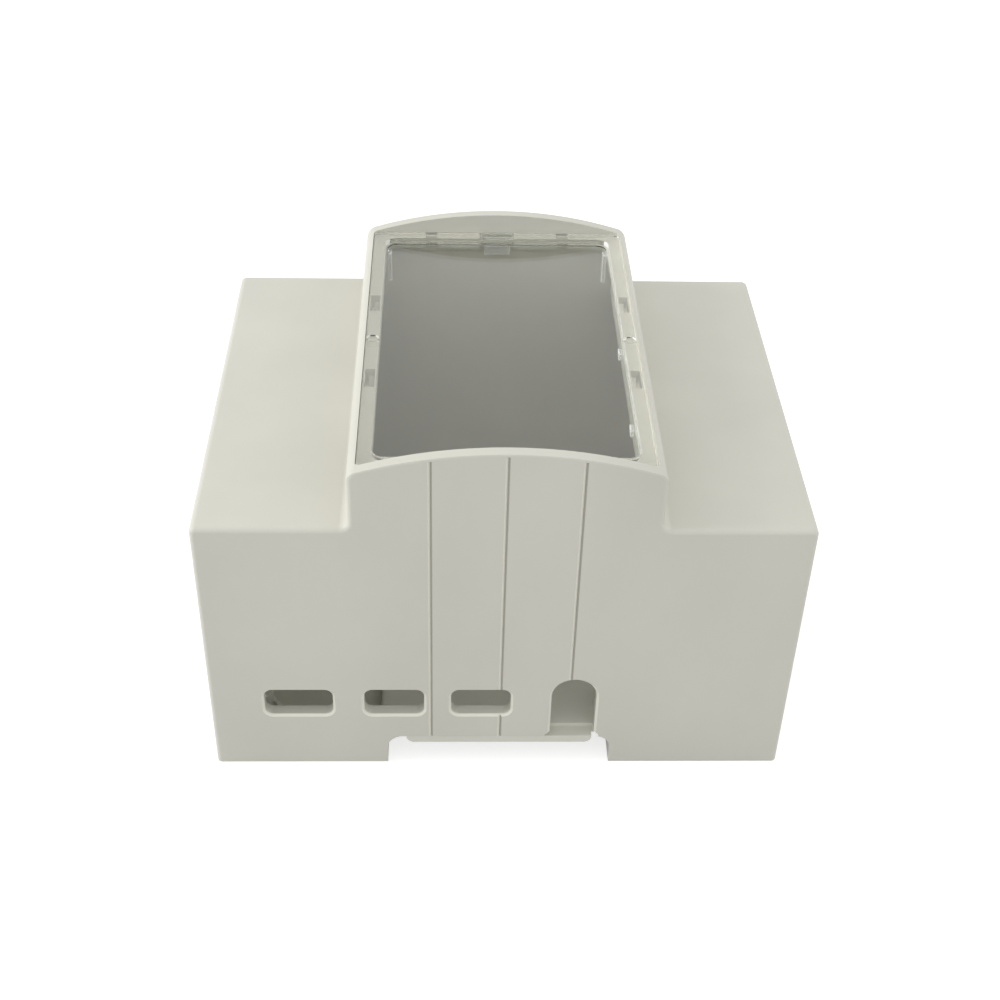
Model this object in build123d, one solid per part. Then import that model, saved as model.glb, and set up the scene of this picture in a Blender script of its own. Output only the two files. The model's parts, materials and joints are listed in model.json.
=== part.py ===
from build123d import *
from math import sqrt
import os

# Enclosure for a credit-card sized computer board, four modules wide, for a 35 mm top-hat rail.
# X runs across the rail, Y along the rail and Z away from the rail. The wall with the small
# port slots faces -Y. The origin is the middle of the bottom. All sizes are millimetres.

# Board that the case is made for
board_length = 85.0
board_width = 56.0
board_thickness = 1.4
board_underside = 10.2
board_end_gap = 0.4
board_side_gap = 0.9        # to the wall with the port slots
side_room = 9.9             # between the board and the opposite wall
hole_inset = 3.5
hole_pitch = 58.0

# Housing
wall = 2.1
shoulder_height = 48.0
front_length = 45.0         # raised front, across the rail
front_rise = 9.6            # straight sides of the raised front, above the shoulders
crown_radius = 70.0         # arched end walls
crown_trim = 0.45           # cut off the rounded crown, which leaves its edge crisp
end_round = 0.8             # outer edges of the two end walls
shoulder_round = 1.0
shoulder_fillet = 1.3       # inside corner between shoulder and raised front
crown_corner = 2.0
fit_gap = 0.2               # between mouldings that clip together
run_gap = 0.3               # round a moving piece
overrun = 1.0               # how far a cut runs past the face that it leaves through
tiny = 0.001

# Rail and rail channel
rail_width = 35.0
rail_flange = 1.0
rail_seat_height = 4.4      # rail face above the bottom of the housing
channel_clearance = 0.2
notch_height = 5.8
notch_round = 2.5
hook_reach = 2.0            # under the rail's edge
hook_length = 12.0
rail_grip_gap = 0.2         # between the rail's flange and what grips it

# Base
floor = 2.0
deck = 2.0
channel_side = 1.2
tongue_end_gap = 2.8        # rail's edge to the end of the rail seat that shows in the notch
tongue_round = 1.2
tongue_inset = 0.1
lip_height = 2.2
lip_thickness = 1.2

standoff_radius = 3.0
pilot_radius = 1.1
pilot_depth = 5.0
gusset_reach = 3.0          # beyond the standoff, at its foot
gusset_thickness = 1.0
gusset_drop = 2.4           # top of the gusset, below the board
pad_inset = 6.5             # board's far edge to the ribs that carry the connector end
pad_length = 8.0
pad_thickness = 1.6
floor_rib_height = 1.6
floor_rib_thickness = 1.0
floor_rib_gap = 2.0         # from the rib's end to the edge of the base
floor_rib_offset = 9.0      # from the middle, along the rail

# Port slots in the wall that faces -Y: distance along the board, width
slot_height = 5.2
slot_round = 1.3
port_rise = 1.6             # slot centre above the board
power_slot = (11.2, 10.6)
video_slots = ((26.0, 9.3), (39.5, 9.3))
audio_distance = 54.0
arch_width = 7.0
arch_rise = 6.4             # top of the arch above the board
arch_flare = 0.8
port_edge_break = 0.35      # bevel round the ports

# Connector openings in the +X wall: distance along the board, width, height
tall_sockets = ((9.0, 14.2, 17.0), (27.0, 14.2, 17.0), (45.75, 16.8, 14.4))
socket_drop = 0.5           # below the board's face
socket_round = 0.6
card_distance = 28.0
card_width = 15.0
card_height = 3.6
card_scoop_radius = 11.0
card_scoop_width = 9.0
card_scoop_depth = 0.95

# V grooves down the end walls
groove_pitch = 10.8
groove_width = 0.6
groove_depth = 0.3
groove_margin = 0.1         # below the rounded edge of the crown

# Window recess and its ledge
crown_wall = 1.75           # end walls beside the recess
crown_side = 1.25           # side walls beside the recess
recess_round = 0.8
rim_height = 0.9            # straight sides of the raised front, above the ledge
ledge_thickness = 1.2
ledge_side = 2.25           # width of the ledge along the sides
ledge_end = 2.1             # width of the ledge along the end walls
opening_round = 1.6
opening_overlap = 0.4       # how far the reliefs reach into the opening's edge
vent_offset = 10.85         # from the middle, along Y
vent_length = 4.8
vent_width = 1.5
relief_offset = 11.3        # from the middle, along X
relief_length = 2.0
latch_gap = 6.0

# Snap arms of the base, and the posts of the housing that stand on its floor
snap_inset = 6.9            # inside of the end wall to the middle of the arm
snap_width = 6.0
snap_thickness = 1.3
snap_height = 8.2
snap_root = 1.6             # thickening at the foot of the arm
barb_reach = 0.9
barb_base = 5.2
barb_height = 1.9
barb_land = 0.5             # upright face at the barb's tip
post_side = 3.0
hold_down_gap = 0.4         # above the board
hold_down_height = 18.0
hold_down_depth = 1.5
hold_down_thickness = 1.0
hold_down_places = (18.5, 32.4, 61.5)

# Window cover
cover_gap = 0.15
frame_height = 1.3
frame_width = 2.05
frame_round = 1.8
skin_height = 0.4           # pane above the ledge
pane_drop = 0.5             # pane below the ledge's top
pane_gap = 0.25
latch_length = 5.2
latch_foot_length = 4.4
latch_drop = 2.7
latch_neck_gap = 0.3        # underside of the ledge to the underside of the wider neck
latch_thickness = 1.2
latch_dimple = 0.5
leg_length = 5.3
leg_thickness = 0.7
leg_width = 1.6
leg_inset = 0.02            # from the edge of the pane
tab_drop = 1.2
tab_thickness = 0.6
tab_length = 1.8
tab_places = (-1.9, -22.3)
mark_place = -1.0           # along Y
mark_length = 2.5
mark_width = 0.3
mark_depth = 0.3
mark_radius = 0.9
dimple_width = 1.2

# Rail clips
clip_half = 6.2
clip_thickness = 2.0
clip_travel = 4.5
nose_reach = 1.8            # under the rail's edge
nose_half = 5.0
nose_bevel = 1.0
tail_inset = 0.3
tail_length = 9.0
tail_round = 1.0
grip_count = 3
grip_pitch = 1.4
grip_depth = 0.35
keel_length = 6.0
keel_height = 0.8
keel_half = 5.2
slot_length = 6.0
slot_width = 1.6
slot_edge = 1.4
arm_slit = 0.8
arm_thickness = 0.8
arm_start = 8.5             # from the nose tip
bump_radius = 1.0
bump_reach = 0.45
bay_gap = 0.8               # between the bay's wall and the snap arm beside it
bay_side = 1.2
bay_roof = 1.4
bay_lip = 0.8
bay_lip_reach = 1.0
niche_height = 6.5
niche_depth = 2.7

# Derived sizes and places
case_length = board_length + 2 * (board_end_gap + wall)
case_width = board_side_gap + board_width + side_room + 2 * wall
half_length = case_length / 2
half_width = case_width / 2
half_front = front_length / 2
front_height = shoulder_height + front_rise
crown_height = front_height + crown_radius - sqrt(crown_radius ** 2 - half_front ** 2)
channel_half = rail_width / 2 + channel_clearance
tongue_length = rail_width - 2 * tongue_end_gap
inner_x = half_length - wall
inner_y = half_width - wall
base_x = inner_x - fit_gap
base_y = inner_y - fit_gap
deck_top = rail_seat_height + deck
board_top = board_underside + board_thickness
board_x = -inner_x + board_end_gap
board_y = -inner_y + board_side_gap
recess_length = front_length - 2 * crown_side
recess_width = case_width - 2 * crown_wall
opening_length = recess_length - 2 * ledge_side
opening_width = recess_width - 2 * ledge_end
ledge_top = front_height - rim_height
ledge_base = ledge_top - ledge_thickness
hook_top = rail_seat_height - rail_flange - rail_grip_gap
clip_top = rail_seat_height - rail_flange - run_gap
clip_base = clip_top - clip_thickness
bay_ceiling = clip_top + run_gap
bay_half = clip_half + run_gap
snap_offset = inner_y - snap_inset
clip_offset = snap_offset - snap_width / 2 - bay_gap - bay_side - bay_half
nose_tip = rail_width / 2 - nose_reach
tail_end = half_length - tail_inset
keel_start = tail_end - tail_length / 2 - keel_length
arm_x = nose_tip + arm_start


def stand(outline, reach):
    """Stand an outline drawn in X and height upright, and run it to -reach and +reach in Y."""
    return extrude(Plane.XZ * outline, reach, both=True)


def slab(x_range, y_range, z_range):
    """Solid between two values on each axis."""
    centres = [(low + high) / 2 for low, high in (x_range, y_range, z_range)]
    sizes = [high - low for low, high in (x_range, y_range, z_range)]
    return Pos(*centres) * Box(*sizes)


def round_corners(outline, x, height, radius):
    """Round the mirrored pair of corners of an outline at -x and +x."""
    corners = [v for v in outline.vertices() if abs(abs(v.X) - x) < tiny and abs(v.Y - height) < tiny]
    return fillet(corners, radius)


def crown_at(x):
    """Height of the crown's arc at a distance from the middle."""
    return crown_height - crown_radius + sqrt(crown_radius ** 2 - x ** 2)


def housing_outline(lift):
    """Stepped outline of the housing with its arched crown, raised by a lift."""
    side_top = crown_at(half_front) + lift
    sides = Polyline(
        (-half_front, side_top), (-half_front, shoulder_height), (-half_length, shoulder_height),
        (-half_length, 0), (half_length, 0), (half_length, shoulder_height),
        (half_front, shoulder_height), (half_front, side_top))
    arc = ThreePointArc((half_front, side_top), (0, crown_height + lift), (-half_front, side_top))
    outline = make_face(sides + arc)
    outline = round_corners(outline, half_length, shoulder_height, shoulder_round)
    outline = round_corners(outline, half_front, shoulder_height, shoulder_fillet)
    return round_corners(outline, half_front, side_top, crown_corner)


def cavity_outline():
    """Inside of the housing, up to the underside of the ledge."""
    top = shoulder_height - wall
    neck = half_front - wall
    points = [
        (-inner_x, -overrun), (-inner_x, top), (-neck, top), (-neck, ledge_base),
        (neck, ledge_base), (neck, top), (inner_x, top), (inner_x, -overrun)]
    return make_face(Polyline(points, close=True))


def notch_outline():
    """Rail notch of the end walls, open at the bottom."""
    half = channel_half
    points = [(-half, -overrun), (-half, notch_height), (half, notch_height), (half, -overrun)]
    outline = make_face(Polyline(points, close=True))
    return round_corners(outline, half, notch_height, notch_round)


def arch_outline():
    """Tall round-headed opening that runs down into the rail notch, flared at its foot."""
    centre = board_x + audio_distance
    half = arch_width / 2
    foot = notch_height - tiny
    spring_line = board_top + arch_rise - half
    flare = half + arch_flare
    right = Line((centre + half, spring_line), (centre + half, foot + arch_flare))
    right_flare = RadiusArc((centre + half, foot + arch_flare), (centre + flare, foot), arch_flare)
    bottom = Polyline((centre + flare, foot), (centre + flare, foot - overrun),
                      (centre - flare, foot - overrun), (centre - flare, foot))
    left_flare = RadiusArc((centre - flare, foot), (centre - half, foot + arch_flare), arch_flare)
    left = Line((centre - half, foot + arch_flare), (centre - half, spring_line))
    head = ThreePointArc((centre - half, spring_line), (centre, spring_line + half),
                         (centre + half, spring_line))
    return make_face(right + right_flare + bottom + left_flare + left + head)


def port_cuts():
    """Small rounded slots and the arch through the wall that faces -Y."""
    cuts = []
    for distance, width in (power_slot,) + video_slots:
        centre = Pos(board_x + distance, board_top + port_rise)
        cuts.append(centre * RectangleRounded(width, slot_height, slot_round))
    cuts.append(arch_outline())
    return [Pos(0, -half_width, 0) * stand(outline, wall + overrun) for outline in cuts]


def port_edges(body):
    """Outer edges of the slots and of the arch above its flared foot."""
    near_face = body.faces().sort_by(Axis.Y)[0]
    edges = [edge for wire in near_face.inner_wires() for edge in wire.edges()]
    centre = board_x + audio_distance
    half = arch_width / 2
    for edge in near_face.outer_wire().edges():
        middle = edge.center()
        if abs(middle.X - centre) < half + tiny and middle.Z > notch_height + arch_flare:
            edges.append(edge)
    return edges


def socket_cuts():
    """Tall connector openings through the +X wall, and the card slot through the -X wall."""
    cuts = []
    for distance, width, height in tall_sockets:
        low = board_top - socket_drop
        outline = Pos(board_y + distance, low + height / 2) * RectangleRounded(width, height, socket_round)
        cuts.append(Pos(half_length, 0, 0) * extrude(Plane.YZ * outline, wall + overrun, both=True))
    card_centre = Pos(-half_length, board_y + card_distance, board_underside - card_height / 2)
    cuts.append(card_centre * Box(2 * (wall + overrun), card_width, card_height))
    scoop = Cylinder(card_scoop_radius, card_scoop_width, rotation=(90, 0, 0))
    cuts.append(card_centre * Pos(card_scoop_depth - card_scoop_radius, 0, 0) * scoop)
    return cuts


def groove_cuts():
    """Shallow V grooves down both end walls, from under the crown's edge to the rail notch."""
    half = groove_width / 2
    cuts = []
    for x in (-groove_pitch, 0, groove_pitch):
        top = crown_at(x) + crown_trim - end_round - groove_margin
        for side in (-1, 1):
            face = side * half_width
            points = [(x - half, face), (x, face - side * groove_depth), (x + half, face),
                      (x, face + side * groove_depth)]
            vee = make_face(Polyline(points, close=True))
            cuts.append(Pos(0, 0, notch_height - tiny) * extrude(vee, top - notch_height))
    return cuts


def ledge_cuts():
    """Window opening, the small through slots beside it and the gap for the cover's latch."""
    low = ledge_base - overrun
    depth = ledge_thickness + 2 * overrun
    cuts = [Pos(0, 0, low) * extrude(RectangleRounded(opening_length, opening_width, opening_round), depth)]
    vent_x = (opening_length + recess_length) / 4
    for x in (-vent_x, vent_x):
        for y in (-vent_offset, vent_offset):
            cuts.append(slab((x - vent_width / 2, x + vent_width / 2),
                             (y - vent_length / 2, y + vent_length / 2), (low, low + depth)))
    edge = opening_width / 2 - opening_overlap
    for x in (-relief_offset, relief_offset):
        for side in (-1, 1):
            reach = sorted((side * edge, side * inner_y))
            cuts.append(slab((x - relief_length / 2, x + relief_length / 2), reach, (low, low + depth)))
    cuts.append(slab((-latch_gap / 2, latch_gap / 2), (edge, inner_y), (low, low + depth)))
    return cuts


def snap_windows():
    """Windows in the +X and -X walls that the barbs of the base's snap arms reach into."""
    width = snap_width + 2 * run_gap
    low, high = barb_base - run_gap, barb_base + barb_height + fit_gap
    cuts = []
    for side in (-1, 1):
        x_range = sorted((side * base_x, side * (half_length + overrun)))
        for y in (-snap_offset, snap_offset):
            cuts.append(slab(x_range, (y - width / 2, y + width / 2), (low, high)))
    return cuts


def niche_cuts():
    """Bottom notches of the +X wall that the tails of the rail clips slide through."""
    return [slab((base_x, half_length + overrun), (y - bay_half, y + bay_half), (-overrun, niche_height))
            for y in (-clip_offset, clip_offset)]


def corner_posts():
    """Posts in the two corners beyond the board that stand on the floor of the base."""
    top = shoulder_height - wall / 2
    y_range = (inner_y - post_side, inner_y + wall / 2)
    x_ranges = [sorted((side * (inner_x - post_side), side * (inner_x + wall / 2))) for side in (-1, 1)]
    return [slab(x_range, y_range, (floor, top)) for x_range in x_ranges]


def hold_down_ribs():
    """Ribs between the ports that keep the board down on its standoffs."""
    low = board_top + hold_down_gap
    half = hold_down_thickness / 2
    y_range = (-inner_y - wall / 2, -inner_y + hold_down_depth)
    return [slab((board_x + place - half, board_x + place + half), y_range, (low, low + hold_down_height))
            for place in hold_down_places]


def housing_shell():
    """One-piece housing: stepped walls, arched ends, window recess, ports and rail notches."""
    body = stand(housing_outline(crown_trim), half_width)
    ends = [body.faces().sort_by(Axis.Y)[0], body.faces().sort_by(Axis.Y)[-1]]
    body = fillet([e for end in ends for e in end.edges() if e.center().Z > tiny], end_round)
    body &= stand(housing_outline(0), half_width)
    body -= stand(cavity_outline(), inner_y)
    recess = RectangleRounded(recess_length, recess_width, recess_round)
    body -= Pos(0, 0, ledge_top) * extrude(recess, crown_height)
    body -= ledge_cuts()
    body += corner_posts()
    body += hold_down_ribs()
    body -= stand(notch_outline(), half_width + overrun)
    body -= port_cuts()
    body = chamfer(port_edges(body), port_edge_break)
    body -= groove_cuts()
    body -= socket_cuts()
    body -= snap_windows()
    body -= niche_cuts()
    return body


def base_outline():
    """Floor of the base with the raised channel that straddles the rail."""
    outer = channel_half + channel_side
    points = [
        (-base_x, 0), (-channel_half, 0), (-channel_half, rail_seat_height),
        (channel_half, rail_seat_height), (channel_half, 0), (base_x, 0), (base_x, floor),
        (outer, floor), (outer, deck_top), (-outer, deck_top), (-outer, floor), (-base_x, floor)]
    outline = make_face(Polyline(points, close=True))
    return round_corners(outline, outer, deck_top, channel_side / 2)


def tongue_outline():
    """Rail seat strip with rounded lower corners, seen end on in the notch."""
    half = tongue_length / 2
    low, high = rail_seat_height, notch_height
    outline = make_face(Polyline([(-half, low), (half, low), (half, high), (-half, high)], close=True))
    return round_corners(outline, half, low, tongue_round)


def fixed_hook(y):
    """Fixed hook under the rail's edge on the -X side of the channel."""
    tip = -rail_width / 2 + hook_reach
    root = -channel_half - channel_side / 2
    points = [(root, 0), (-channel_half, 0), (tip, hook_top / 2), (tip, hook_top), (root, hook_top)]
    return Pos(0, y, 0) * stand(make_face(Polyline(points, close=True)), hook_length / 2)


def standoffs():
    """Four round bosses that carry the board, with pilot holes for its screws."""
    height = board_underside - floor / 2
    first = Pos(board_x + hole_inset, board_y + hole_inset, floor / 2)
    places = [Pos(i * hole_pitch, j * (board_width - 2 * hole_inset)) for i in (0, 1) for j in (0, 1)]
    up = (Align.CENTER, Align.CENTER, Align.MIN)
    bosses = [first * place * Cylinder(standoff_radius, height, align=up) for place in places]
    start = Pos(0, 0, height - pilot_depth)
    holes = [first * place * start * Cylinder(pilot_radius, pilot_depth + overrun, align=up)
             for place in places]
    return bosses, holes


def gusset_outline():
    """Triangular gusset of a standoff, from its middle to its foot, in reach and height."""
    top = board_underside - gusset_drop
    foot = standoff_radius + gusset_reach
    points = [(0, floor / 2), (foot, floor / 2), (foot, floor), (standoff_radius, top), (0, top)]
    return make_face(Polyline(points, close=True))


def gussets():
    """Two gussets on each standoff, which point towards the other standoffs."""
    half = gusset_thickness / 2
    rows = (board_y + hole_inset, board_y + board_width - hole_inset)
    columns = (board_x + hole_inset, board_x + hole_inset + hole_pitch)
    along_x = extrude(Plane.XZ * gusset_outline(), half, both=True)
    gusset_list = []
    for x, x_turn in zip(columns, (0, 180)):
        for y, y_turn in zip(rows, (90, -90)):
            gusset_list.append(Pos(x, y, 0) * Rot(0, 0, x_turn) * along_x)
            gusset_list.append(Pos(x, y, 0) * Rot(0, 0, y_turn) * along_x)
    return gusset_list


def board_pads():
    """Ribs that carry the connector end of the board."""
    x = board_x + board_length - pad_inset
    rows = (board_y + hole_inset, board_y + board_width - hole_inset)
    return [slab((x - pad_thickness / 2, x + pad_thickness / 2), (y - pad_length / 2, y + pad_length / 2),
                 (floor / 2, board_underside)) for y in rows]


def floor_ribs():
    """Low stiffening ribs from the channel to the edges of the floor."""
    half = floor_rib_thickness / 2
    start = channel_half + channel_side / 2
    end = base_x - floor_rib_gap
    z_range = (floor / 2, floor + floor_rib_height)
    ribs = [slab((-end, -start), (y - half, y + half), z_range)
            for y in (-floor_rib_offset, floor_rib_offset)]
    ribs.append(slab((start, end), (-half, half), z_range))
    return ribs


def location_lips():
    """Low lips along both end walls, inside the housing's walls."""
    inner_end = channel_half + channel_side + lip_thickness * 2
    outer_end = inner_x - post_side - lip_thickness
    lips = []
    for x_side in (-1, 1):
        for y_side in (-1, 1):
            x_range = sorted((x_side * inner_end, x_side * outer_end))
            y_range = sorted((y_side * (base_y - lip_thickness), y_side * base_y))
            lips.append(slab(x_range, y_range, (floor / 2, floor + lip_height)))
    return lips


def snap_arm(x_side, y):
    """Snap arm with a barb that is sloped above and flat below."""
    outer = base_x
    root = floor / 2
    tip = outer + barb_reach
    inner = outer - snap_thickness
    points = [
        (inner, root), (outer, root), (outer, barb_base), (tip, barb_base),
        (tip, barb_base + barb_land), (outer, barb_base + barb_height), (outer, snap_height),
        (inner, snap_height), (inner, floor + snap_root), (inner - snap_root, floor),
        (inner - snap_root, root)]
    outline = make_face(Polyline([(x_side * x, z) for x, z in points], close=True))
    return Pos(0, y, 0) * stand(outline, snap_width / 2)


def clip_bay(y):
    """Walls, roof and end niche of the bay that one rail clip slides in."""
    side = bay_half + bay_side
    roof = slab((channel_half, base_x), (y - side, y + side), (0, bay_ceiling + bay_roof))
    niche = slab((base_x - niche_depth - bay_side, base_x), (y - side, y + side),
                 (0, niche_height + bay_side))
    return roof + niche


def clip_bay_space(y):
    """Room inside one clip bay, with the pockets that stop the clip's spring arms."""
    room = slab((channel_half - overrun, half_length), (y - bay_half, y + bay_half), (-overrun, bay_ceiling))
    room += slab((base_x - niche_depth, half_length), (y - bay_half, y + bay_half), (0, niche_height))
    start = arm_x - run_gap
    end = start + 2 * bump_radius + 2 * run_gap + clip_travel
    pocket = bay_half + bump_reach
    room += slab((start, end), (y - pocket, y + pocket), (clip_base - run_gap, bay_ceiling))
    return room


def bay_lips(y):
    """Lips at the mouth of a clip bay that keep the clip in."""
    x_range = (channel_half + channel_side, base_x - niche_depth)
    edge = bay_half - bay_lip_reach
    outer = bay_half + bay_side / 2
    return [slab(x_range, (y + edge, y + outer), (0, bay_lip)),
            slab(x_range, (y - outer, y - edge), (0, bay_lip))]


def base_tray():
    """One-piece base: floor, rail channel with hooks, clip bays, board standoffs and snap arms."""
    tray = stand(base_outline(), base_y)
    bosses, holes = standoffs()
    tray += bosses
    tray += gussets()
    tray += floor_ribs()
    tray += board_pads()
    tray += location_lips()
    tray -= slab((-channel_half, channel_half), (-half_width, half_width), (-overrun, rail_seat_height))
    tray += stand(tongue_outline(), half_width - tongue_inset)
    tray += [fixed_hook(y) for y in (-clip_offset, clip_offset)]
    tray += [clip_bay(y) for y in (-clip_offset, clip_offset)]
    tray -= [clip_bay_space(y) for y in (-clip_offset, clip_offset)]
    tray += [lip for y in (-clip_offset, clip_offset) for lip in bay_lips(y)]
    tray += [snap_arm(x_side, y) for x_side in (-1, 1) for y in (-snap_offset, snap_offset)]
    tray -= holes
    return tray


def window_cover():
    """Clear one-piece cover: raised frame on the ledge, thinner pane, latch, legs and tabs."""
    length = recess_length - 2 * cover_gap
    width = recess_width - 2 * cover_gap
    outer = RectangleRounded(length, width, recess_round)
    inner = RectangleRounded(length - 2 * frame_width, width - 2 * frame_width, frame_round)
    cover = Pos(0, 0, ledge_top) * extrude(outer, frame_height)
    cover -= Pos(0, 0, ledge_top + skin_height) * extrude(inner, frame_height)
    drop_length = opening_length - 2 * pane_gap
    drop_width = opening_width - 2 * pane_gap
    pane = RectangleRounded(drop_length, drop_width, opening_round)
    cover += Pos(0, 0, ledge_top - pane_drop) * extrude(pane, pane_drop + skin_height)
    cover += cover_latch()
    cover += cover_legs()
    cover += cover_tabs()
    return cover - cover_marks()


def cover_latch():
    """Latch that hangs in the gap of the ledge at the far side, with a narrower foot."""
    far = inner_y - fit_gap
    near = far - latch_thickness
    half, foot = latch_length / 2, latch_foot_length / 2
    top = ledge_top + skin_height
    neck = slab((-half, half), (near, far), (ledge_base + latch_neck_gap, top))
    return neck + slab((-foot, foot), (near, far), (ledge_top - latch_drop, top))


def cover_legs():
    """Two long guide legs under the far corners of the pane."""
    far = opening_width / 2 - pane_gap - opening_round
    outer = opening_length / 2 - pane_gap - leg_inset
    top = ledge_top
    return [slab(sorted((side * (outer - leg_thickness), side * outer)), (far - leg_width, far),
                 (top - pane_drop - leg_length, top)) for side in (-1, 1)]


def cover_tabs():
    """Small tabs under the +X edge of the pane."""
    edge = opening_length / 2 - pane_gap
    return [slab((edge - tab_thickness, edge), (y - tab_length / 2, y + tab_length / 2),
                 (ledge_top - pane_drop - tab_drop, ledge_top)) for y in tab_places]


def cover_marks():
    """Moulding marks across the middle of the long frame sides, and the finger dimple at the latch."""
    length = recess_length - 2 * cover_gap
    top = ledge_top + frame_height
    middle = (length - frame_width) / 2
    cuts = []
    for side in (-1, 1):
        centre = Pos(side * middle, mark_place, top)
        cuts.append(centre * Box(mark_length, mark_width, 2 * mark_depth))
        cuts.append(centre * Pos(0, mark_radius / 2, 0) * Cylinder(mark_radius, 2 * mark_depth))
    dimple_y = recess_width / 2 - cover_gap - frame_width / 2
    cuts.append(Pos(0, dimple_y, top) * Box(latch_length, dimple_width, 2 * latch_dimple))
    return cuts


def clip_outline():
    """Plan of a rail clip: nose, body with a spring arm on each side, and narrower tail."""
    shoulder = channel_half + run_gap
    tail_start = tail_end - tail_length
    points = [
        (nose_tip, -nose_half), (shoulder, -nose_half), (shoulder, -clip_half), (tail_start, -clip_half),
        (tail_start, -nose_half), (tail_end, -nose_half), (tail_end, nose_half), (tail_start, nose_half),
        (tail_start, clip_half), (shoulder, clip_half), (shoulder, nose_half), (nose_tip, nose_half)]
    return make_face(Polyline(points, close=True))


def grip_grooves():
    """Row of V grooves across the underside of the keel, for a fingertip."""
    side = grip_depth * sqrt(2)
    middle = keel_start + keel_length / 2
    return [Pos(middle + (i - (grip_count - 1) / 2) * grip_pitch, 0, -keel_height)
            * Box(side, 2 * clip_half, side, rotation=(0, 45, 0)) for i in range(grip_count)]


def rail_clip(y):
    """Sliding rail clip: bevelled nose, two spring arms with bumps, keel and screwdriver slot."""
    clip = extrude(clip_outline(), clip_thickness)
    tail_corners = [e for e in clip.edges().filter_by(Axis.Z) if abs(e.center().X - tail_end) < tiny]
    clip = fillet(tail_corners, tail_round)
    for side in (-1, 1):
        bump_y = side * (clip_half + bump_reach - bump_radius)
        clip += Pos(arm_x + bump_radius, bump_y, clip_thickness / 2) * Cylinder(bump_radius, clip_thickness)
        slit_y = side * (clip_half - arm_thickness - arm_slit / 2)
        slit = slab((arm_x - arm_slit, keel_start), (slit_y - arm_slit / 2, slit_y + arm_slit / 2),
                    (-clip_thickness, 2 * clip_thickness))
        end_range = sorted((slit_y, side * (clip_half + overrun)))
        end_cut = slab((arm_x - arm_slit, arm_x), end_range, (-clip_thickness, 2 * clip_thickness))
        clip -= slit
        clip -= end_cut
    keel = slab((keel_start, keel_start + keel_length), (-keel_half, keel_half), (-keel_height, 0))
    keel = fillet(keel.edges().filter_by(Axis.Z), keel_height)
    clip += keel
    slot_x = tail_end - slot_edge - slot_width / 2
    clip -= Pos(slot_x, 0, 0) * Box(slot_width, slot_length, 4 * clip_thickness)
    clip -= grip_grooves()
    tip_edges = [e for e in clip.edges().filter_by(Axis.Y)
                 if abs(e.center().X - nose_tip) < tiny and abs(e.center().Z) < tiny]
    clip = chamfer(tip_edges, nose_bevel)
    return Pos(0, y, clip_base) * clip


def main():
    """Build every piece and write one STEP file for each."""
    os.makedirs("parts", exist_ok=True)
    pieces = {
        "housing_shell": housing_shell(),
        "base_tray": base_tray(),
        "window_cover": window_cover(),
        "rail_clip_near": rail_clip(-clip_offset),
        "rail_clip_far": rail_clip(clip_offset),
    }
    for name, piece in pieces.items():
        export_step(piece, f"parts/{name}.step")


main()
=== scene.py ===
"""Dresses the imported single-board computer case: mouldings, clear window, small marks and studio."""
import json
import logging
import math
from abc import ABC, abstractmethod
from dataclasses import dataclass
from enum import Enum
from typing import Self

import bmesh
import bpy
from mathutils import Euler, Matrix, Vector

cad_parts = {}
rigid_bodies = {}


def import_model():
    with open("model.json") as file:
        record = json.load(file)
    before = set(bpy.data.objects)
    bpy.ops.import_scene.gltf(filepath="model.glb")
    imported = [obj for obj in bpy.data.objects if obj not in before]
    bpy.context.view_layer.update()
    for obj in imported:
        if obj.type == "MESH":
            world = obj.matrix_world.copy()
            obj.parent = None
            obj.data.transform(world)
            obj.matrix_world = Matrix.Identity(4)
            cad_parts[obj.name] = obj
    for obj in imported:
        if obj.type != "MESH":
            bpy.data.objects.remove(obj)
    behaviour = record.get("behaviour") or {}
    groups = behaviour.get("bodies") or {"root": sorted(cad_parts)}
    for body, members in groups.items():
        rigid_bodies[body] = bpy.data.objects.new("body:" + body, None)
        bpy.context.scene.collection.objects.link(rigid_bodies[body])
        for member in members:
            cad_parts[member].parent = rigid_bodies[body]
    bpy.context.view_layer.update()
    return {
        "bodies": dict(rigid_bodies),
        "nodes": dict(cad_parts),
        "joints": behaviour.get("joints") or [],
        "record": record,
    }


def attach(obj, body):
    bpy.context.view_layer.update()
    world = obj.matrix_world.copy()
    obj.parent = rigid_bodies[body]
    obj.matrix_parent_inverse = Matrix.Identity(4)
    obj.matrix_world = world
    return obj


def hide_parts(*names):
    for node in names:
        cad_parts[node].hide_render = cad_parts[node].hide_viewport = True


LOG = logging.getLogger("enclosure")
MM = 0.001
MERGE_DISTANCE = 0.002 * MM
FLAT_ANGLE = math.radians(0.6)
SHARP_ANGLE = math.radians(28.0)
FLAT_WEIGHT = 100
# face attribute of painted light: above 0 a painted highlight, below 0 painted shade
PAINTED_LIGHT_ATTRIBUTE = "edge"
BODY_SLOT, EDGE_SLOT, FRAME_SLOT = 0, 1, 2
CHANNEL_MAX = 255
CURVE_KNEE = 0.04045
CURVE_SLOPE = 12.92
CURVE_OFFSET = 0.055
CURVE_POWER = 2.4
NOISE_LOW, NOISE_HIGH = 0.3, 0.7
UNDER_ONE_BOUNCE = 0.5


class Slot(Enum):
    """Material slots of the record."""

    SHELL = "shell_plastic"
    BASE = "base_plastic"
    CLEAR = "clear_plastic"
    CLIP = "clip_plastic"


class Body(Enum):
    """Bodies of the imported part."""

    HOUSING = "housing"
    COVER = "cover"
    CLIP_NEAR = "clip_near"
    CLIP_FAR = "clip_far"


def linear(level: float) -> float:
    """Undo the display curve of one channel.

    Args:
        level: Display value between 0 and 1.

    Returns:
        The linear value.
    """
    if level <= CURVE_KNEE:
        return level / CURVE_SLOPE
    return ((level + CURVE_OFFSET) / (1 + CURVE_OFFSET)) ** CURVE_POWER


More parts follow.
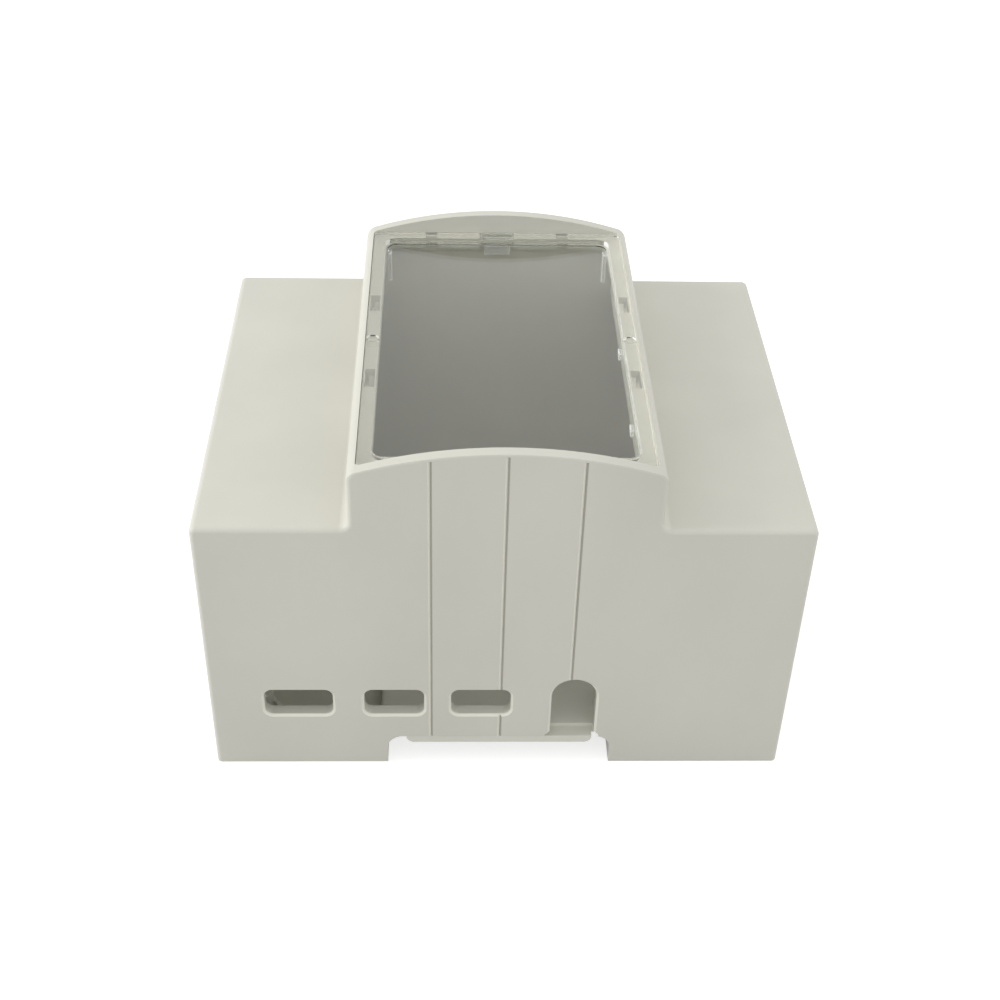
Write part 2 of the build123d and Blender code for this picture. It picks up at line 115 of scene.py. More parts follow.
@dataclass(frozen=True)
class Tone:
    """A display colour, each channel from 0 to 255."""

    red: float
    green: float
    blue: float

    def rgba(self, gain: float = 1.0) -> tuple[float, float, float, float]:
        """Return the linear colour with alpha.

        Args:
            gain: Factor on the linear channels.

        Returns:
            Red, green, blue and alpha.
        """
        levels = (self.red, self.green, self.blue)
        red, green, blue = (linear(level / CHANNEL_MAX) * gain for level in levels)
        return (red, green, blue, 1.0)


WHITE = Tone(255, 255, 255)
CLEAR_TONE = Tone(250, 251, 249)


class ShaderTree:
    """Small helper that adds and links the shader nodes of one material or world."""

    def __init__(self, tree: bpy.types.NodeTree, output: str) -> None:
        """Empty a node tree and give it one output.

        Args:
            tree: Node tree to fill.
            output: Type name of its output node.
        """
        self.tree = tree
        self.tree.nodes.clear()
        self.output = self.add(output)

    @classmethod
    def of_material(cls, material: bpy.types.Material) -> Self:
        """Return the emptied tree of a material."""
        material.use_nodes = True
        return cls(material.node_tree, "ShaderNodeOutputMaterial")

    @classmethod
    def of_world(cls, world: bpy.types.World) -> Self:
        """Return the emptied tree of a world."""
        world.use_nodes = True
        return cls(world.node_tree, "ShaderNodeOutputWorld")

    def add(self, kind: str, **values: object) -> bpy.types.Node:
        """Add a node and set its attributes.

        Args:
            kind: Type name of the node.
            values: Attributes of the node and their values.

        Returns:
            The new node.
        """
        node = self.tree.nodes.new(kind)
        for name, value in values.items():
            setattr(node, name, value)
        return node

    def link(self, source: bpy.types.NodeSocket, target: bpy.types.NodeSocket) -> None:
        """Link an output socket to an input socket."""
        self.tree.links.new(source, target)

    def noise(self, grain: float, detail: float = 1.0,
              stretch: tuple[float, float, float] = (1.0, 1.0, 1.0)) -> bpy.types.NodeSocket:
        """Add a noise pattern on the piece's own coordinates.

        Args:
            grain: Size of one feature in metres.
            detail: Number of finer layers.
            stretch: Factor on the pattern along each axis.

        Returns:
            The noise's value, about 0.5 on average.
        """
        place = self.add("ShaderNodeTexCoord")
        mapping = self.add("ShaderNodeMapping")
        mapping.inputs["Scale"].default_value = tuple(1 / (grain * factor) for factor in stretch)
        noise = self.add("ShaderNodeTexNoise")
        noise.inputs["Scale"].default_value = 1.0
        noise.inputs["Detail"].default_value = detail
        self.link(place.outputs["Object"], mapping.inputs["Vector"])
        self.link(mapping.outputs["Vector"], noise.inputs["Vector"])
        return noise.outputs["Fac"]

    def spread(self, value: bpy.types.NodeSocket, low: float, high: float) -> bpy.types.NodeSocket:
        """Map a noise value onto a range.

        Args:
            value: Noise value, mostly between NOISE_LOW and NOISE_HIGH.
            low: Result at NOISE_LOW.
            high: Result at NOISE_HIGH.

        Returns:
            The mapped value.
        """
        node = self.add("ShaderNodeMapRange")
        node.inputs["From Min"].default_value = NOISE_LOW
        node.inputs["From Max"].default_value = NOISE_HIGH
        node.inputs["To Min"].default_value = low
        node.inputs["To Max"].default_value = high
        self.link(value, node.inputs["Value"])
        return node.outputs["Result"]

    def tint(self, under: bpy.types.NodeSocket, colour: tuple[float, float, float, float],
             share: bpy.types.NodeSocket) -> bpy.types.NodeSocket:
        """Mix a fixed colour over another colour.

        Args:
            under: Colour that shows where the share is 0 or less.
            colour: Colour that shows where the share is 1.
            share: Share of the fixed colour.

        Returns:
            The mixed colour.
        """
        mix = self.add("ShaderNodeMix", data_type="RGBA")
        mix.inputs["B"].default_value = colour
        self.link(share, mix.inputs["Factor"])
        self.link(under, mix.inputs["A"])
        return mix.outputs["Result"]

    def bumps(self, layers: list[tuple[bpy.types.NodeSocket, float]]) -> bpy.types.NodeSocket:
        """Stack bump layers.

        Args:
            layers: Height sockets and the depth of each in metres.

        Returns:
            The normal after the last layer.
        """
        normal = None
        for height, depth in layers:
            bump = self.add("ShaderNodeBump")
            bump.inputs["Strength"].default_value = 1.0
            bump.inputs["Distance"].default_value = depth
            self.link(height, bump.inputs["Height"])
            if normal is not None:
                self.link(normal, bump.inputs["Normal"])
            normal = bump.outputs["Normal"]
        return normal


def seen_directly(tree: ShaderTree) -> bpy.types.NodeSocket:
    """Add the nodes that tell whether a ray shows its target to the camera, without a diffuse bounce.

    Args:
        tree: Nodes of the floor or of the surround.

    Returns:
        A socket of 1 for camera, glossy and transmission rays before any diffuse bounce, else 0.
    """
    path = tree.add("ShaderNodeLightPath")
    mirrored = tree.add("ShaderNodeMath", operation="MAXIMUM")
    through = tree.add("ShaderNodeMath", operation="MAXIMUM")
    straight = tree.add("ShaderNodeMath", operation="LESS_THAN")
    straight.inputs[1].default_value = UNDER_ONE_BOUNCE
    both = tree.add("ShaderNodeMath", operation="MULTIPLY")
    tree.link(path.outputs["Is Camera Ray"], mirrored.inputs[0])
    tree.link(path.outputs["Is Glossy Ray"], mirrored.inputs[1])
    tree.link(mirrored.outputs["Value"], through.inputs[0])
    tree.link(path.outputs["Is Transmission Ray"], through.inputs[1])
    tree.link(path.outputs["Diffuse Depth"], straight.inputs[0])
    tree.link(through.outputs["Value"], both.inputs[0])
    tree.link(straight.outputs["Value"], both.inputs[1])
    return both.outputs["Value"]


@dataclass(frozen=True)
class Finish(ABC):
    """Surface of a moulded piece."""

    name: str
    tone: Tone

    def material(self) -> bpy.types.Material:
        """Return the material, which is made at the first call.

        Returns:
            The node material.
        """
        material = bpy.data.materials.get(self.name)
        if material is None:
            material = bpy.data.materials.new(self.name)
            self.fill(ShaderTree.of_material(material))
        return material

    @abstractmethod
    def fill(self, tree: ShaderTree) -> None:
        """Add the shader nodes.

        Args:
            tree: Emptied nodes of the material.
        """


@dataclass(frozen=True)
class MouldedFinish(Finish):
    """Opaque injection-moulded plastic with a fine eroded grain, faint flow clouds, and painted highlights
    and painted shade on the faces that the painted light attribute marks.
    """

    roughness: float
    duller: float = 0.05
    glossier: float = 0.04
    grain: float = 0.16 * MM
    grain_detail: float = 2.0
    grain_depth: float = 0.004 * MM
    patch: float = 0.48 * MM
    cloud: float = 22.0 * MM
    cloud_detail: float = 3.0
    cloud_stretch: tuple[float, float, float] = (1.0, 1.0, 1.6)
    cloud_contrast: float = 0.035
    # painted highlight and painted shade: tone gains where the painted light attribute is above or below 0
    painted_highlight_gain: float = 1.38
    painted_shade_gain: float = 0.62
    wave: float = 9.0 * MM
    wave_depth: float = 0.010 * MM
    ior: float = 1.52
    specular: float = 0.45

    def colour(self, tree: ShaderTree) -> bpy.types.NodeSocket:
        """Add the clouded colour, with a painted highlight where the painted light attribute is above 0 and
        painted shade where it is below 0.

        Args:
            tree: Nodes of the material.

        Returns:
            The colour.
        """
        clouds = tree.add("ShaderNodeMix", data_type="RGBA")
        clouds.inputs["A"].default_value = self.tone.rgba(1 - self.cloud_contrast)
        clouds.inputs["B"].default_value = self.tone.rgba(1 + self.cloud_contrast)
        pattern = tree.noise(self.cloud, self.cloud_detail, self.cloud_stretch)
        tree.link(tree.spread(pattern, 0.0, 1.0), clouds.inputs["Factor"])
        # painted highlight where the attribute is above 0, painted shade where it is below 0
        height = tree.add("ShaderNodeAttribute", attribute_name=PAINTED_LIGHT_ATTRIBUTE).outputs["Fac"]
        painted_highlighted = tree.tint(clouds.outputs["Result"], self.tone.rgba(self.painted_highlight_gain), height)
        depth = tree.add("ShaderNodeMath", operation="MULTIPLY")
        depth.inputs[1].default_value = -1.0
        tree.link(height, depth.inputs[0])
        return tree.tint(painted_highlighted, self.tone.rgba(self.painted_shade_gain), depth.outputs["Value"])

    def fill(self, tree: ShaderTree) -> None:
        """Add the shader nodes.

        Args:
            tree: Emptied nodes of the material.
        """
        shader = tree.add("ShaderNodeBsdfPrincipled")
        shader.inputs["IOR"].default_value = self.ior
        shader.inputs["Specular IOR Level"].default_value = self.specular
        tree.link(self.colour(tree), shader.inputs["Base Color"])
        patches = tree.noise(self.patch)
        rough = tree.spread(patches, self.roughness - self.glossier, self.roughness + self.duller)
        tree.link(rough, shader.inputs["Roughness"])
        slow = tree.noise(self.wave)
        fine = tree.noise(self.grain, self.grain_detail)
        bumps = tree.bumps([(slow, self.wave_depth), (fine, self.grain_depth)])
        tree.link(bumps, shader.inputs["Normal"])
        tree.link(shader.outputs["BSDF"], tree.output.inputs["Surface"])


@dataclass(frozen=True)
class ClearFinish(Finish):
    """Clear polished plastic that lets lamps through to what it covers."""

    shade: Tone = CLEAR_TONE
    ior: float = 1.47
    transmission: float = 1.0
    roughness: float = 0.03
    wave: float = 7.0 * MM
    wave_depth: float = 0.002 * MM

    def fill(self, tree: ShaderTree) -> None:
        """Add the shader nodes.

        Args:
            tree: Emptied nodes of the material.
        """
        glass = tree.add("ShaderNodeBsdfPrincipled")
        glass.inputs["Base Color"].default_value = self.tone.rgba()
        glass.inputs["Roughness"].default_value = self.roughness
        glass.inputs["IOR"].default_value = self.ior
        glass.inputs["Transmission Weight"].default_value = self.transmission
        tree.link(tree.bumps([(tree.noise(self.wave), self.wave_depth)]), glass.inputs["Normal"])
        through = tree.add("ShaderNodeBsdfTransparent")
        through.inputs["Color"].default_value = self.shade.rgba()
        path = tree.add("ShaderNodeLightPath")
        mix = tree.add("ShaderNodeMixShader")
        tree.link(path.outputs["Is Shadow Ray"], mix.inputs["Fac"])
        tree.link(glass.outputs["BSDF"], mix.inputs[1])
        tree.link(through.outputs["BSDF"], mix.inputs[2])
        tree.link(mix.outputs["Shader"], tree.output.inputs["Surface"])


def blank_object(name: str, mesh: bpy.types.Mesh) -> bpy.types.Object:
    """Put a mesh into the scene at the origin.

    Args:
        name: Name of the object.
        mesh: Mesh to show.

    Returns:
        The new object.
    """
    piece = bpy.data.objects.new(name, mesh)
    bpy.context.scene.collection.objects.link(piece)
    return piece


def evaluated_mesh(piece: bpy.types.Object) -> bpy.types.Mesh:
    """Return a new mesh with the object's modifiers applied."""
    graph = bpy.context.evaluated_depsgraph_get()
    return bpy.data.meshes.new_from_object(piece.evaluated_get(graph), preserve_all_data_layers=True,
                                           depsgraph=graph)


def closed_copy(source: bpy.types.Mesh) -> bmesh.types.BMesh:
    """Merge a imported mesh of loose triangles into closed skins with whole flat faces.

    Args:
        source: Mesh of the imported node.

    Returns:
        The merged copy, to be freed by the caller.
    """
    work = bmesh.new()
    work.from_mesh(source)
    bmesh.ops.remove_doubles(work, verts=work.verts, dist=MERGE_DISTANCE)
    bmesh.ops.dissolve_limit(work, angle_limit=FLAT_ANGLE, verts=work.verts, edges=work.edges)
    return work


def keep_side(work: bmesh.types.BMesh, height: float, above: bool) -> None:
    """Cut a closed mesh at a height, keep one side and cap the cut.

    Args:
        work: Mesh to cut.
        height: Height of the cut in metres.
        above: Whether the upper side stays.
    """
    geometry = [*work.verts, *work.edges, *work.faces]
    cut = bmesh.ops.bisect_plane(work, geom=geometry, plane_co=(0, 0, height), plane_no=(0, 0, 1),
                                 clear_inner=above, clear_outer=not above)
    rim = [item for item in cut["geom_cut"] if isinstance(item, bmesh.types.BMEdge)]
    bmesh.ops.holes_fill(work, edges=rim, sides=0)
    bmesh.ops.recalc_face_normals(work, faces=work.faces)


def shrink(work: bmesh.types.BMesh, gap: float) -> None:
    """Move every face of a closed mesh inwards, which leaves an air gap to what it touches.

    Args:
        work: Mesh to change.
        gap: Distance in metres.
    """
    work.normal_update()
    for vertex in work.verts:
        vertex.co -= vertex.normal * vertex.calc_shell_factor() * gap


def mark_painted_edge_highlights(mesh: bpy.types.Mesh) -> None:
    """Write the painted light attribute: 1, a painted highlight, on the broken outer edges and 0 elsewhere.

    Args:
        mesh: Mesh whose broken edges are in the edge slot, which is emptied.
    """
    work = bmesh.new()
    work.from_mesh(mesh)
    values = []
    for face in work.faces:
        bend = sum(edge.calc_face_angle_signed(0.0) * edge.calc_length() for edge in face.edges)
        values.append(float(face.material_index == EDGE_SLOT and bend > 0))
    work.free()
    mesh.attributes.new(PAINTED_LIGHT_ATTRIBUTE, "FLOAT", "FACE").data.foreach_set("value", values)
    mesh.polygons.foreach_set("material_index", [BODY_SLOT] * len(mesh.polygons))


class MarkShape(Enum):
    """Shape of one repeated mark."""

    DISC = "disc"
    DOME = "dome"


@dataclass(frozen=True)
class MarkField:
    """Even rows of small moulding marks on one face."""

    shape: MarkShape
    columns: int
    rows: int
    pitch_x: float
    pitch_y: float
    radius: float
    height: float
    place: tuple[float, float, float]
    turn: tuple[float, float, float] = (0.0, 0.0, 0.0)
    variation: float = 0.04
    seed: int = 7

    def values(self) -> dict[str, object]:
        """Return the values of the node tree's named inputs."""
        return {
            "Columns": self.columns, "Rows": self.rows, "Pitch X": self.pitch_x, "Pitch Y": self.pitch_y,
            "Radius": self.radius, "Height": self.height, "Variation": self.variation, "Seed": self.seed,
            "Dome": self.shape is MarkShape.DOME,
        }

    def matrix(self) -> Matrix:
        """Return the field's place and turn."""
        return Matrix.Translation(self.place) @ Euler(self.turn).to_matrix().to_4x4()


class MarkTree:
    """Geometry node tree that repeats discs or domes on a grid."""

    DISC_SIDES = 28
    BALL_SEGMENTS = 20
    BALL_RINGS = 12
    SOCKETS = {
        "Columns": "NodeSocketInt", "Rows": "NodeSocketInt", "Pitch X": "NodeSocketFloat",
        "Pitch Y": "NodeSocketFloat", "Radius": "NodeSocketFloat", "Height": "NodeSocketFloat",
        "Variation": "NodeSocketFloat", "Seed": "NodeSocketInt", "Dome": "NodeSocketBool",
        "Material": "NodeSocketMaterial",
    }

    def __init__(self) -> None:
        """Build the tree."""
        self.group = bpy.data.node_groups.new("repeated_marks", "GeometryNodeTree")
        self.group.interface.new_socket("Geometry", in_out="OUTPUT", socket_type="NodeSocketGeometry")
        for name, kind in self.SOCKETS.items():
            self.group.interface.new_socket(name, in_out="INPUT", socket_type=kind)
        self.source = self.add("NodeGroupInput")
        grid = self.add("GeometryNodeMeshGrid")
        self.join(self.source.outputs["Columns"], grid.inputs["Vertices X"])
        self.join(self.source.outputs["Rows"], grid.inputs["Vertices Y"])
        self.join(self.span("Columns", "Pitch X"), grid.inputs["Size X"])
        self.join(self.span("Rows", "Pitch Y"), grid.inputs["Size Y"])
        spread = self.add("GeometryNodeInstanceOnPoints")
        self.join(grid.outputs["Mesh"], spread.inputs["Points"])
        self.join(self.mark(), spread.inputs["Instance"])
        self.join(self.scale(), spread.inputs["Scale"])
        whole = self.add("GeometryNodeRealizeInstances")
        self.join(spread.outputs["Instances"], whole.inputs["Geometry"])
        paint = self.add("GeometryNodeSetMaterial")
        self.join(whole.outputs["Geometry"], paint.inputs["Geometry"])
        self.join(self.source.outputs["Material"], paint.inputs["Material"])
        self.join(paint.outputs["Geometry"], self.add("NodeGroupOutput").inputs["Geometry"])

    def add(self, kind: str, **values: object) -> bpy.types.Node:
        """Add a node and set its attributes.

        Args:
            kind: Type name of the node.
            values: Attributes of the node and their values.

        Returns:
            The new node.
        """
        node = self.group.nodes.new(kind)
        for name, value in values.items():
            setattr(node, name, value)
        return node

    def join(self, source: bpy.types.NodeSocket, target: bpy.types.NodeSocket) -> None:
        """Link an output socket to an input socket."""
        self.group.links.new(source, target)

    def span(self, count: str, pitch: str) -> bpy.types.NodeSocket:
        """Return the length of a row.

        Args:
            count: Name of the input with the number of marks.
            pitch: Name of the input with their distance.

        Returns:
            The distance from the first mark to the last.
        """
        gaps = self.add("ShaderNodeMath", operation="SUBTRACT")
        gaps.inputs[1].default_value = 1.0
        length = self.add("ShaderNodeMath", operation="MULTIPLY")
        self.join(self.source.outputs[count], gaps.inputs[0])
        self.join(gaps.outputs["Value"], length.inputs[0])
        self.join(self.source.outputs[pitch], length.inputs[1])
        return length.outputs["Value"]

    def mark(self) -> bpy.types.NodeSocket:
        """Add the nodes of one mark, a disc or a dome of the same radius and height.

        Returns:
            The mark's geometry.
        """
        disc = self.add("GeometryNodeMeshCylinder")
        disc.inputs["Vertices"].default_value = self.DISC_SIDES
        self.join(self.source.outputs["Radius"], disc.inputs["Radius"])
        self.join(self.source.outputs["Height"], disc.inputs["Depth"])
        ball = self.add("GeometryNodeMeshUVSphere")
        ball.inputs["Segments"].default_value = self.BALL_SEGMENTS
        ball.inputs["Rings"].default_value = self.BALL_RINGS
        self.join(self.source.outputs["Radius"], ball.inputs["Radius"])
        ratio = self.add("ShaderNodeMath", operation="DIVIDE")
        self.join(self.source.outputs["Height"], ratio.inputs[0])
        self.join(self.source.outputs["Radius"], ratio.inputs[1])
        squash = self.add("ShaderNodeCombineXYZ")
        squash.inputs["X"].default_value = 1.0
        squash.inputs["Y"].default_value = 1.0
        self.join(ratio.outputs["Value"], squash.inputs["Z"])
        flat = self.add("GeometryNodeTransform")
        self.join(ball.outputs["Mesh"], flat.inputs["Geometry"])
        self.join(squash.outputs["Vector"], flat.inputs["Scale"])
        smooth = self.add("GeometryNodeSetShadeSmooth")
        self.join(flat.outputs["Geometry"], smooth.inputs["Geometry"])
        choice = self.add("GeometryNodeSwitch", input_type="GEOMETRY")
        self.join(self.source.outputs["Dome"], choice.inputs["Switch"])
        self.join(disc.outputs["Mesh"], choice.inputs["False"])
        self.join(smooth.outputs["Geometry"], choice.inputs["True"])
        return choice.outputs["Output"]

    def scale(self) -> bpy.types.NodeSocket:
        """Add the nodes that give each mark a slightly different scale.

        Returns:
            The scale.
        """
        low = self.add("ShaderNodeMath", operation="SUBTRACT")
        low.inputs[0].default_value = 1.0
        high = self.add("ShaderNodeMath", operation="ADD")
        high.inputs[0].default_value = 1.0
        chance = self.add("FunctionNodeRandomValue", data_type="FLOAT")
        smallest, largest = (s for s in chance.inputs if s.identifier in ("Min_001", "Max_001"))
        self.join(self.source.outputs["Variation"], low.inputs[1])
        self.join(self.source.outputs["Variation"], high.inputs[1])
        self.join(low.outputs["Value"], smallest)
        self.join(high.outputs["Value"], largest)
        self.join(self.source.outputs["Seed"], chance.inputs["Seed"])
        return next(s for s in chance.outputs if s.identifier == "Value_001")

    def mesh(self, name: str, fields: list[MarkField], material: bpy.types.Material) -> bpy.types.Mesh:
        """Realise several fields and join them.

        Args:
            name: Name of the mesh.
            fields: Fields of one body.
            material: Material of the marks.

        Returns:
            One mesh of all marks.
        """
        joined = bmesh.new()
        holder = blank_object("marks_holder", bpy.data.meshes.new("marks_seed"))
        modifier = holder.modifiers.new("marks", "NODES")
        modifier.node_group = self.group
        inputs = (item for item in self.group.interface.items_tree if item.in_out == "INPUT")
        sockets = {item.name: item.identifier for item in inputs}
        for field in fields:
            for name, value in {**field.values(), "Material": material}.items():
                modifier[sockets[name]] = value
            holder.update_tag()
            bpy.context.view_layer.update()
            marks = evaluated_mesh(holder)
            marks.transform(field.matrix())
            joined.from_mesh(marks)
            bpy.data.meshes.remove(marks)
        bpy.data.objects.remove(holder)
        mesh = bpy.data.meshes.new(name)
        joined.to_mesh(mesh)
        joined.free()
        return mesh


@dataclass
class Moulding:
    """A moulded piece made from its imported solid, with every sharp edge broken as a mould leaves it."""

    node: str
    body: Body
    slot: Slot
    finish: Finish
    edge: float = 0.16 * MM
    edge_segments: int = 2
    painted_highlight_finish: Finish | None = None

    def build(self, nodes: dict[str, bpy.types.Object]) -> None:
        """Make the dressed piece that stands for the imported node.

        Args:
            nodes: Packed objects by name.
        """
        work = closed_copy(nodes[self.node].data)
        self.dress(f"dressed_{self.node}", work, self.finish, self.edge)

    def dress(self, name: str, work: bmesh.types.BMesh, finish: Finish, edge: float) -> bpy.types.Object:
        """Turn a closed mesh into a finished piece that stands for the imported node.

        Args:
            name: Name of the piece.
            work: Closed mesh, freed here.
            finish: Finish of the piece.
            edge: Width of the broken edges.

        Returns:
            The finished object.
        """
        for face in work.faces:
            face.smooth = True
        mesh = bpy.data.meshes.new(f"{name}_mesh")
        work.to_mesh(mesh)
        work.free()
        for _ in (BODY_SLOT, EDGE_SLOT):
            mesh.materials.append(None)
        piece = blank_object(name, mesh)
        self.break_edges(piece, edge)
        rounded = evaluated_mesh(piece)
        piece.modifiers.clear()
        piece.data = rounded
        # painted highlight mask on the broken outer edges
        mark_painted_edge_highlights(rounded)
        self.register(piece, finish, self.node)
        return piece

    def add_marks(self, name: str, tree: MarkTree, fields: list[MarkField], finish: Finish) -> None:
        """Make small repeated marks as a piece of this body.

        Args:
            name: Name of the piece.
            tree: Tree that repeats the marks.
            fields: Rows of marks.
            finish: Finish of the marks.
        """
        mesh = tree.mesh(f"{name}_mesh", fields, finish.material())
        self.register(blank_object(name, mesh), finish)

    def register(self, piece: bpy.types.Object, finish: Finish, replaced: str | None = None) -> None:
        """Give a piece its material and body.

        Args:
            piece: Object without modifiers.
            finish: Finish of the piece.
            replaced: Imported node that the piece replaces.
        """
        mesh = piece.data
        mesh.materials.clear()
        mesh.materials.append(finish.material())
        # painted highlight: faces marked by the painted light attribute take the painted highlight finish
        if self.painted_highlight_finish is not None and PAINTED_LIGHT_ATTRIBUTE in mesh.attributes:
            mesh.materials.append(self.painted_highlight_finish.material())
            mesh.polygons.foreach_set("material_index", self.painted_highlight_faces(mesh))
        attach(piece, self.body.value)
        if replaced is not None:
            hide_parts(replaced)
        LOG.info("%s: %d faces on %s", piece.name, len(piece.data.polygons), self.body.value)

    def painted_highlight_faces(self, mesh: bpy.types.Mesh) -> list[int]:
        """Return 1 for each face that takes the painted highlight finish, and 0 for the others."""
        return [int(value.value > 0) for value in mesh.attributes[PAINTED_LIGHT_ATTRIBUTE].data]

    def break_edges(self, piece: bpy.types.Object, edge: float) -> None:
        """Round the sharp edges a little and keep the flats flat.

        Args:
            piece: Object that gets the modifiers.
            edge: Width of the broken edges.
        """
        bevel = piece.modifiers.new("edge_break", "BEVEL")
        bevel.width = edge
        bevel.segments = self.edge_segments
        bevel.limit_method = "ANGLE"
        bevel.angle_limit = SHARP_ANGLE
        bevel.use_clamp_overlap = True
        bevel.material = EDGE_SLOT
        bevel.miter_outer = "MITER_ARC"
        flats = piece.modifiers.new("flat_faces", "WEIGHTED_NORMAL")
        flats.mode = "FACE_AREA"
        flats.weight = FLAT_WEIGHT
        flats.keep_sharp = False


@dataclass
class ShellSizes:
    """Sizes of the V grooves down both end walls, where the rims of the port openings lie, and the strength
    of the painted highlight on those rims.

    The rise and the slants are limits on one part of a face's unit normal.
    """

    edge: float = 0.12 * MM
    groove_pitch: float = 10.8 * MM
    groove_count: int = 3
    groove_half: float = 0.36 * MM
    groove_rise: float = 0.1
    skin: float = 0.5 * MM
    slant_least: float = 0.2
    slant_most: float = 0.98
    port_reach: float = 38.0 * MM
    port_top: float = 17.0 * MM
    port_foot: float = 6.3 * MM
    rim_painted_highlight: float = 0.7


class HousingShell(Moulding):
    """Stepped upper moulding."""

    def __init__(self, finish: Finish) -> None:
        """Set the piece up.

        Args:
            finish: Finish of the shell.
        """
        self.sizes = ShellSizes()
        super().__init__("housing_shell", Body.HOUSING, Slot.SHELL, finish, edge=self.sizes.edge)

    def register(self, piece: bpy.types.Object, finish: Finish, replaced: str | None = None) -> None:
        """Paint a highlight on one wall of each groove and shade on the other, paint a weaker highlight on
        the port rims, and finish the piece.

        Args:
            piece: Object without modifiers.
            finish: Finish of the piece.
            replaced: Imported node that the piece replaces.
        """
        marks = piece.data.attributes[PAINTED_LIGHT_ATTRIBUTE].data
        wall = max(abs(vertex.co.y) for vertex in piece.data.vertices)
        for face in piece.data.polygons:
            if not self.is_slanted(face) or wall - abs(face.center.y) >= self.sizes.skin:
                continue
            if self.in_groove(face):
                # painted highlight on groove walls facing +x, painted shade on those facing -x
                marks[face.index].value = math.copysign(1.0, face.normal.x)
            elif self.on_port(face):
                # port rims: a weaker painted highlight
                marks[face.index].value = self.sizes.rim_painted_highlight
        super().register(piece, finish, replaced)

    def is_slanted(self, face: bpy.types.MeshPolygon) -> bool:
        """Return whether a face lies neither along nor across the end walls."""
        return self.sizes.slant_least < abs(face.normal.y) < self.sizes.slant_most

    def in_groove(self, face: bpy.types.MeshPolygon) -> bool:
        """Tell whether a slanted face is one wall of a groove.

        Args:
            face: Face near the outside of an end wall.

        Returns:
            Whether it lies on a groove's line and runs upright.
        """
        sizes = self.sizes
        line = round(face.center.x / sizes.groove_pitch)
        offset = abs(face.center.x - line * sizes.groove_pitch)
        on_line = abs(line) <= sizes.groove_count // 2 and offset < sizes.groove_half
        return on_line and abs(face.normal.z) < sizes.groove_rise

    def on_port(self, face: bpy.types.MeshPolygon) -> bool:
        """Return whether a slanted face is on the rim of a port opening."""
        sizes = self.sizes
        return abs(face.center.x) < sizes.port_reach and sizes.port_foot < face.center.z < sizes.port_top


@dataclass
class BaseSizes:
    """Sizes of the marks on the base."""

    pin_radius: float = 1.5 * MM
    pin_height: float = 0.05 * MM
    seat_height: float = 4.4 * MM
    seat_columns: int = 2
    seat_rows: int = 5
    seat_pitch_x: float = 14.0 * MM
    seat_pitch_y: float = 12.0 * MM
    deck_height: float = 6.4 * MM
    deck_count: int = 3
    deck_pitch: float = 13.0 * MM

    @property
    def pin_depth(self) -> float:
        """Return the whole depth of a mark, half of which is below the face."""
        return 2 * self.pin_height


class BaseTray(Moulding):
    """Lower moulding with the marks that its ejector pins leave."""

    def __init__(self, finish: Finish, marks: MarkTree) -> None:
        """Set the piece up.

        Args:
            finish: Finish of the base.
            marks: Tree that makes the repeated marks.
        """
        super().__init__("base_tray", Body.HOUSING, Slot.BASE, finish)
        self.marks = marks
        self.sizes = BaseSizes()

    def build(self, nodes: dict[str, bpy.types.Object]) -> None:
        """Make the moulding and its pin marks.

        Args:
            nodes: Packed objects by name.
        """
        super().build(nodes)
        sizes = self.sizes
        fields = [
            MarkField(MarkShape.DISC, columns=sizes.seat_columns, rows=sizes.seat_rows,
                      pitch_x=sizes.seat_pitch_x, pitch_y=sizes.seat_pitch_y, radius=sizes.pin_radius,
                      height=sizes.pin_depth, place=(0.0, 0.0, sizes.seat_height)),
            MarkField(MarkShape.DISC, columns=sizes.deck_count, rows=sizes.deck_count,
                      pitch_x=sizes.deck_pitch, pitch_y=sizes.deck_pitch, radius=sizes.pin_radius,
                      height=sizes.pin_depth, place=(0.0, 0.0, sizes.deck_height)),
        ]
        self.add_marks("base_pin_marks", self.marks, fields, self.finish)


@dataclass
class CoverSizes:
    """Sizes of the window cover's dressing.

    The slopes are limits on one part of a face's unit normal.
    """

    plate_edge: float = 0.18 * MM
    feet_edge: float = 0.12 * MM
    split_height: float = 56.18 * MM
    air_gap: float = 0.012 * MM
    nib_radius: float = 0.45 * MM
    nib_reach: float = 0.12 * MM
    nib_count: int = 4
    nib_pitch: float = 13.0 * MM
    nib_middle: float = -5.5 * MM
    nib_height: float = 57.3 * MM
    half_width: float = 21.1 * MM
    pane_top: float = 57.12 * MM
    top_slope: float = 0.98
    wall_slope: float = 0.6


